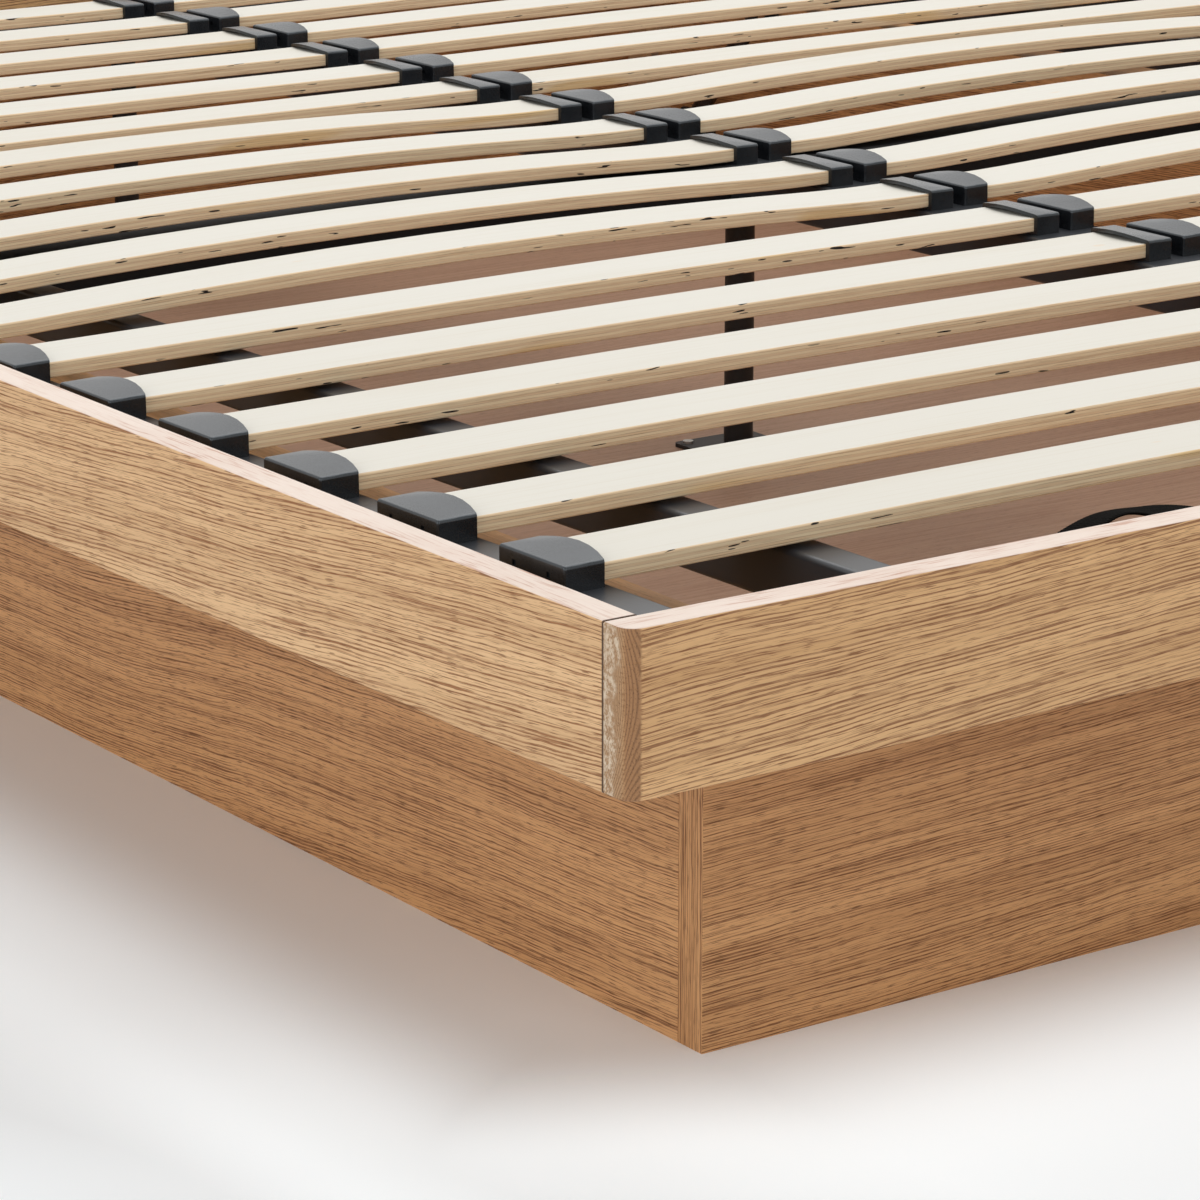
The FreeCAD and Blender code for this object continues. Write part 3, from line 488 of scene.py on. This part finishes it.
tubes = ("side_tube_left", "side_tube_right", "foot_tube", "head_tube", "centre_beam", "inner_beam_left",
         "inner_beam_right", "strut_lugs")
fixings = ("centre_posts", "post_plates", "hinge_plates", "strut_mounts")
dress(coatedSteel("frameSteelSatin", frameSteel), *tubes)
dress(coatedSteel("crossSteelShadedMatt", shadedCrossSteel), "mid_cross_tubes")
dress(coatedSteel("blackSteelCoat", blackSteel), *fixings)
dress(coatedSteel("strutEnamelBlack", strutEnamel), "gas_cylinder_left", "gas_cylinder_right")

# bright metal: drawn lines on plated screws and plates, a ground finish on the strut rods
zincPlate = {
    "base": (0.60, 0.60, 0.58, 1), "dull": (0.42, 0.42, 0.41, 1), "rough": 0.30, "lines": (500, 90, 500),
    "cloudScale": (40, 40, 40), "dullStep": (0.4, 0.7), "lineRough": 0.12, "cloudRough": 0.08,
    "dent": (0.06, 0.0002),
}
rodSteel = dict(zincPlate, base=(0.74, 0.74, 0.75, 1), dull=(0.62, 0.62, 0.63, 1), rough=0.10,
                lines=(90, 700, 900))


def brightMetal(name, look):
    mat, w, skin = newMaterial(name)
    here = w.coords("Object")
    line = here.speckle(look["lines"], 2.0)
    cloud = here.speckle(look["cloudScale"], 3.0)
    w.feed(skin, {"Base Color": cloud.step(*look["dullStep"]).pick(look["base"], look["dull"]),
                  "Roughness": look["rough"] + line * look["lineRough"] + cloud * look["cloudRough"],
                  "Metallic": 1.0, "Normal": line.dent(*look["dent"])})
    return mat


dress(brightMetal("zincPlated", zincPlate), "tray_plates", "base_screws", "strap_screws", "hinge_pins")
dress(brightMetal("rodGround", rodSteel), "gas_rod_left", "gas_rod_right")

# black moulded plastic and rubber
capPlastic = {
    "base": (0.008, 0.009, 0.011, 1), "pale": (0.016, 0.018, 0.022, 1), "rough": 0.20, "grain": 2600,
    "ior": 1.57, "tint": (0.86, 0.94, 1.0, 1), "grainRough": 0.10, "dent": (0.08, 0.0002),
    "cloudScale": (60, 60, 60), "cloudStep": (0.4, 0.7), "cloudShow": 0.5, "cloudRough": 0.06,
    "dustScale": (700, 700, 700), "dustStep": (0.70, 0.78), "dustShow": 0.5,
}
padRubber = dict(capPlastic, base=(0.020, 0.020, 0.020, 1), pale=(0.040, 0.040, 0.039, 1),
                 rough=0.72, grain=1200)


def moulded(name, look):
    mat, w, skin = newMaterial(name)
    here = w.coords("Object")
    grain = here.speckle((look["grain"],) * 3, 2.0)
    cloud = here.speckle(look["cloudScale"], 3.0)
    dust = here.speckle(look["dustScale"], 1.0).step(*look["dustStep"])
    paleness = cloud.step(*look["cloudStep"]) * look["cloudShow"] + dust * look["dustShow"]
    w.feed(skin, {"Base Color": paleness.pick(look["base"], look["pale"]),
                  "Roughness": look["rough"] + grain * look["grainRough"] + cloud * look["cloudRough"],
                  "Normal": grain.dent(*look["dent"]), "IOR": look["ior"], "Specular Tint": look["tint"]})
    return mat


dress(moulded("capPlasticBlack", capPlastic), "side_caps", "centre_caps", "tube_end_plugs")
dress(moulded("padRubberBlack", padRubber), "rest_pads", "post_pads")
print("metal, plastic and rubber dressed")

# pull straps: woven webbing arches, sewn flat at both ends and screwed to the foot tube
strapSet = {
    "span": 0.116, "rise": 0.0098, "tab": 0.022, "width": 0.025, "thick": 0.0018, "near": -0.9995,
    "level": 0.2604, "rib": 0.0019, "perRib": 6, "across": 16, "scallop": 0.00055, "swell": 0.00012,
    "rimFrom": 0.86, "rimWide": 0.14, "rimThin": 0.6, "soften": 0.0035, "taps": (-1, -0.5, 0, 0.5, 1),
    "crease": -0.026, "creaseReach": 0.036, "nearLift": 0.0078, "farLift": 0.0020,
}
webbing = {
    "yarn": (0.003, 0.0026, 0.0022, 1), "worn": (0.009, 0.008, 0.007, 1), "column": 0.00135, "rough": 0.85,
    "zigzag": 0.25, "zigzagRise": 4.0, "zigzagPart": 0.5, "weftStep": (0.05, 0.75), "weaveShow": 0.55,
    "fuzzScale": (2600, 2600, 2600), "fuzzStep": (0.5, 0.75), "fuzzShow": 0.45, "fuzzRough": 0.15,
    "fuzzDeep": 0.25, "dent": (0.55, 0.0005), "shine": 0.05,
}
thread = {
    "radius": 0.00034, "stitch": 0.0026, "gap": 0.0007, "rows": (0.0030, 0.0190), "inset": 0.0030,
    "sides": 8, "sunk": 0.6, "firstShare": 0.2,
    "bead": ((0.0, 0.45), (0.2, 0.9), (0.5, 1.0), (0.8, 0.9), (1.0, 0.45)),  # place along, size there
    "dark": (0.022, 0.021, 0.021, 1), "pale": (0.070, 0.068, 0.066, 1), "rough": 0.60, "twistRough": 0.2,
    "twistScale": (1500, 2600, 2600), "twistStep": (0.4, 0.65), "dent": (0.3, 0.0002),
}


def strapArc(s):
    half = strapSet["span"] / 2
    inside = (half ** 2 + strapSet["rise"] ** 2) / (2 * strapSet["rise"])
    radius = inside + strapSet["thick"] / 2
    turn = math.asin(half / inside)
    flat = half + strapSet["tab"] - radius * math.sin(turn)
    length = 2 * (flat + radius * turn)
    ground = strapSet["level"] + strapSet["thick"] / 2
    if s < flat:
        return Vector((s - half - strapSet["tab"], 0, ground)), length
    if s > length - flat:
        return Vector((half + strapSet["tab"] - length + s, 0, ground)), length
    angle = (s - flat) / radius - turn
    lift = strapSet["rise"] - radius * (1 - math.cos(angle))
    return Vector((radius * math.sin(angle), 0, max(ground, ground + lift))), length


def strapLine(s):
    length = strapArc(0)[1]
    taps = [min(max(s + strapSet["soften"] * tap, 0), length) for tap in strapSet["taps"]]
    middle = sum((strapArc(tap)[0] for tap in taps), Vector()) / len(taps)
    ahead = strapArc(min(s + strapSet["soften"], length))[0] - strapArc(max(s - strapSet["soften"], 0))[0]
    slope = ahead.normalized()
    return middle, Vector((-slope.z, 0, slope.x))


def strapSurface(s, across, side):
    middle, up = strapLine(s)
    wave = math.cos(2 * math.pi * s / strapSet["rib"])
    rim = max(0.0, abs(across) * 2 - strapSet["rimFrom"]) / strapSet["rimWide"]
    thick = strapSet["thick"] / 2 * (1 - strapSet["rimThin"] * rim ** 2) + strapSet["swell"] * wave * side
    out = across * strapSet["width"] + math.copysign(rim * strapSet["scallop"] * wave, across)
    beside = min(abs(middle.x - strapSet["crease"]) / strapSet["creaseReach"], 1.0)
    raised = strapSet["nearLift"] * (0.5 - across) + strapSet["farLift"] * (0.5 + across)
    place = middle + up * (side * thick)
    lift = raised * math.cos(beside * math.pi / 2) ** 2
    return place + Vector((0, strapSet["near"] + strapSet["width"] / 2 + out, lift))


def strapSpot(s, across, side, centre):
    spot = strapSurface(s, across, side)
    return Vector((spot.x * math.copysign(1, -centre.x), spot.y, spot.z)) + centre


def finishForm(name, form):
    bmesh.ops.recalc_face_normals(form, faces=form.faces)
    mesh = bpy.data.meshes.new(name)
    form.to_mesh(mesh)
    form.free()
    piece = bpy.data.objects.new(name, mesh)
    scene.collection.objects.link(piece)
    return piece


def strapBand(name, centre):
    length = strapArc(0)[1]
    steps = round(length / strapSet["rib"] * strapSet["perRib"])
    shares = [index / (strapSet["across"] - 1) - 0.5 for index in range(strapSet["across"])]
    loop = [(share, 1) for share in shares] + [(share, -1) for share in reversed(shares)]
    form = bmesh.new()
    layer = form.loops.layers.uv.new("weave")
    rings = []
    for step in range(steps + 1):
        s = length * step / steps
        places = [leanOpen @ strapSpot(s, across, side, centre) for across, side in loop]
        rings.append([form.verts.new(place) for place in places])
    for step in range(steps):
        first, second = rings[step], rings[step + 1]
        for here in range(len(loop)):
            after = (here + 1) % len(loop)
            face = form.faces.new((first[here], first[after], second[after], second[here]))
            face.smooth = True
            for corner, (ring, spot) in zip(face.loops, ((0, here), (0, after), (1, after), (1, here))):
                corner[layer].uv = (length * (step + ring) / steps, loop[spot][0] * strapSet["width"])
    form.faces.new(rings[0])
    form.faces.new(reversed(rings[-1]))
    return finishForm(name, form)


def stitchBead(form, start, finish):
    along = finish - start
    side = along.cross(Vector((0, 0, 1))).normalized()
    sides = thread["sides"]
    turns = [2 * math.pi * index / sides for index in range(sides)]
    spokes = [side * math.cos(turn) + Vector((0, 0, math.sin(turn))) for turn in turns]
    rings = []
    for share, size in thread["bead"]:
        middle = start + along * share + Vector((0, 0, thread["radius"] * (size - thread["sunk"])))
        places = [leanOpen @ (middle + spoke * thread["radius"] * size) for spoke in spokes]
        rings.append([form.verts.new(place) for place in places])
    for first, second in zip(rings, rings[1:]):
        for index in range(sides):
            after = (index + 1) % sides
            form.faces.new((first[index], first[after], second[after], second[index])).smooth = True
    form.faces.new(rings[0])
    form.faces.new(rings[-1])


def strapStitches(name, centre):
    form = bmesh.new()
    length = strapArc(0)[1]
    edge = 0.5 - thread["inset"] / strapSet["width"]
    near, far = thread["rows"]
    pitch = thread["stitch"] + thread["gap"]
    widePitch = pitch / strapSet["width"]
    for flip in (False, True):
        def spot(s, across):
            return strapSpot(length - s if flip else s, across, 1, centre)
        for row in (-edge, edge):
            for index in range(int((far - near) / pitch)):
                start = near + index * pitch
                stitchBead(form, spot(start, row), spot(start + thread["stitch"], row))
        for s in (near, far):
            for index in range(int(2 * edge / widePitch)):
                start = -edge + (index + thread["firstShare"]) * widePitch
                stitchBead(form, spot(s, start), spot(s, start + thread["stitch"] / strapSet["width"]))
    return finishForm(name, form)


def webbingMaterial(look):
    mat, w, skin = newMaterial("strapWebbing")
    along, across = w.make("UVMap", {"uv_map": "weave"}).axes()[:2]
    column = across / look["column"]
    zigzag = abs((column * look["zigzag"]).fraction() - 0.5) * look["zigzagRise"]
    weft = (along / strapSet["rib"] + zigzag * look["zigzagPart"]).wave()
    weave = weft.step(*look["weftStep"]) * (1 - column.wave() ** 4)
    fuzz = w.coords("Object").speckle(look["fuzzScale"], 2.0)
    wear = weave * look["weaveShow"] + fuzz.step(*look["fuzzStep"]) * look["fuzzShow"]
    relief = weave + fuzz * look["fuzzDeep"]
    w.feed(skin, {"Base Color": wear.pick(look["yarn"], look["worn"]),
                  "Roughness": look["rough"] + fuzz * look["fuzzRough"],
                  "Normal": relief.dent(*look["dent"]), "Specular IOR Level": look["shine"]})
    return mat


def threadMaterial(look):
    mat, w, skin = newMaterial("strapThread")
    twist = w.coords("Object").speckle(look["twistScale"], 1.0)
    w.feed(skin, {"Base Color": twist.step(*look["twistStep"]).pick(look["dark"], look["pale"]),
                  "Roughness": look["rough"] + twist * look["twistRough"],
                  "Normal": twist.dent(*look["dent"])})
    return mat


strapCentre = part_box("pull_straps")[1][0] - strapSet["span"] / 2 - strapSet["tab"]
strapSkin = webbingMaterial(webbing)
threadSkin = threadMaterial(thread)
for label, sign in (("left", -1), ("right", 1)):
    centre = Vector((sign * strapCentre, 0, 0))
    band = strapBand("strap_band_" + label, centre)
    band.data.materials.append(strapSkin)
    stitches = strapStitches("strap_stitches_" + label, centre)
    stitches.data.materials.append(threadSkin)
    for piece in (band, stitches):
        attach(piece, "platform")
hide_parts("pull_straps")
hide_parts("pull_straps")
print("pull straps woven and sewn")

# stage: pale floor and white all round, a soft box overhead, soft fills from the left and from the foot end
stageSet = {
    "floor": (0.865, 0.895, 0.915, 1), "paper": (1.0, 0.995, 0.985, 1), "black": (0.0, 0.0, 0.0, 1),
    "size": 14.0, "fade": (0.40, 1.7), "ambient": 0.42, "white": 1.0, "rough": 0.9, "shine": 0.1,
}
floorGlow = {  # pairs are distances from the plinth's sides or ends, less than 0 beside it
    "end": 0.48, "aside": 0.45, "endRise": (-0.03, 0.14), "endFall": (0.14, 0.34), "endLoss": 0.55,
    "cornerFall": (0.05, 0.38), "cornerLoss": 0.85, "endStop": (0.40, 0.9),
    "side": 0.19, "sideRise": (0.06, 0.20), "sideFall": (0.24, 0.36),
    "footRise": (-0.26, 0.0), "footGain": 0.6, "sideStop": (0.15, 0.5), "red": 0.93, "blue": 1.03,
}
softBoxes = {
    "topBox": {"place": (0.7, 0.6, 3.4), "target": (0.1, 0.0, 0.2), "size": (4.2, 4.2), "power": 95},
    "leftFill": {"place": (-4.2, -1.2, 1.9), "target": (-0.6, -0.6, 0.2), "size": (2.6, 2.2), "power": 42},
    "footFill": {"place": (-0.4, -4.6, 1.9), "target": (0.0, -0.9, 0.2), "size": (2.6, 2.0), "power": 26},
}


def shownRays(w):  # 1 for what the camera sees, also in a shiny piece or through a clear one
    ray = w.make("LightPath", None, None, "Is Camera Ray")
    return ray.most(ray.other("Is Glossy Ray")).most(ray.other("Is Transmission Ray"))


def glowByPlinth(toSide, toEnd):
    reach = toEnd + toSide.most(0.0) * floorGlow["aside"]
    fall = reach.step(*floorGlow["endFall"]) * floorGlow["endLoss"]
    corner = toSide.step(*floorGlow["cornerFall"]) * floorGlow["cornerLoss"]
    atEnd = reach.step(*floorGlow["endRise"]) * (1 - fall) * floorGlow["end"]
    atEnd = atEnd * (1 - corner) * (1 - toSide.step(*floorGlow["endStop"]))
    gain = toEnd.step(*floorGlow["footRise"]) * floorGlow["footGain"]
    atSide = toSide.step(*floorGlow["sideRise"]) * (1 - toSide.step(*floorGlow["sideFall"]))
    atSide = atSide * floorGlow["side"] * (1 + gain) * (1 - toEnd.step(*floorGlow["sideStop"]))
    return atEnd.most(atSide)


def buildFloor():
    half = stageSet["size"] / 2
    corners = [(-half, -half, 0), (half, -half, 0), (half, half, 0), (-half, half, 0)]
    mesh = bpy.data.meshes.new("studioFloor")
    mesh.from_pydata(corners, [], [(0, 1, 2, 3)])
    floor = bpy.data.objects.new("studioFloor", mesh)
    scene.collection.objects.link(floor)
    mat, w, skin = newMaterial("studioFloorPale")
    x, y = w.coords("Object").axes()[:2]
    plinthSide, plinthEnd = (abs(edge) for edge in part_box("foot_plinth")[0][:2])
    toSide = abs(x) - plinthSide
    toEnd = abs(y) - plinthEnd
    away = (toSide.most(0.0) ** 2 + toEnd.most(0.0) ** 2) ** 0.5
    shown = shownRays(w)
    far = away.step(*stageSet["fade"]) * shown  # the floor fades into the white all round
    glow = glowByPlinth(toSide, toEnd) * shown * (1 - far)
    near = w.joined(glow * floorGlow["red"], glow, glow * floorGlow["blue"])
    w.feed(skin, {"Base Color": far.pick(stageSet["floor"], stageSet["black"]),
                  "Roughness": stageSet["rough"], "Specular IOR Level": stageSet["shine"],
                  "Emission Color": far.pick(near, stageSet["paper"]), "Emission Strength": 1.0})
    mesh.materials.append(mat)


def buildWorld():
    world = bpy.data.worlds.new("studioWorld")
    world.use_nodes = True
    world.node_tree.nodes.clear()
    w = Wire(world.node_tree)
    level = stageSet["ambient"] + shownRays(w) * (stageSet["white"] - stageSet["ambient"])
    sky = w.make("Background", None, {"Color": stageSet["paper"], "Strength": level})
    sink = world.node_tree.nodes.new("ShaderNodeOutputWorld")
    world.node_tree.links.new(sky.socket, sink.inputs["Surface"])
    scene.world = world


def softBox(name, look):
    lamp = bpy.data.lights.new(name, "AREA")
    lamp.shape = "RECTANGLE"
    lamp.size, lamp.size_y = look["size"]
    lamp.energy = look["power"]
    light = bpy.data.objects.new(name, lamp)
    light.location = look["place"]
    toTarget = Vector(look["target"]) - Vector(look["place"])
    light.rotation_euler = toTarget.to_track_quat("-Z", "Y").to_euler()
    scene.collection.objects.link(light)


buildFloor()
buildWorld()
for name, look in softBoxes.items():
    softBox(name, look)
scene.view_settings.view_transform = "Standard"

# the photograph's own camera, solved from the rails and slats
photoCamera = {
    "place": (-2.0581, -2.7663, 0.9273), "pitch": 74.04, "yaw": -34.92, "lens": 141.6, "sensor": 36.0,
    "nearest": 0.05,
}
lensData = bpy.data.cameras.new("photoCamera")
lensData.lens = photoCamera["lens"]
lensData.sensor_width = photoCamera["sensor"]
lensData.clip_start = photoCamera["nearest"]
camera = bpy.data.objects.new("photoCamera", lensData)
camera.location = photoCamera["place"]
camera.rotation_euler = (math.radians(photoCamera["pitch"]), 0.0, math.radians(photoCamera["yaw"]))
scene.collection.objects.link(camera)
scene.camera = camera
print("stage, lights and camera set")
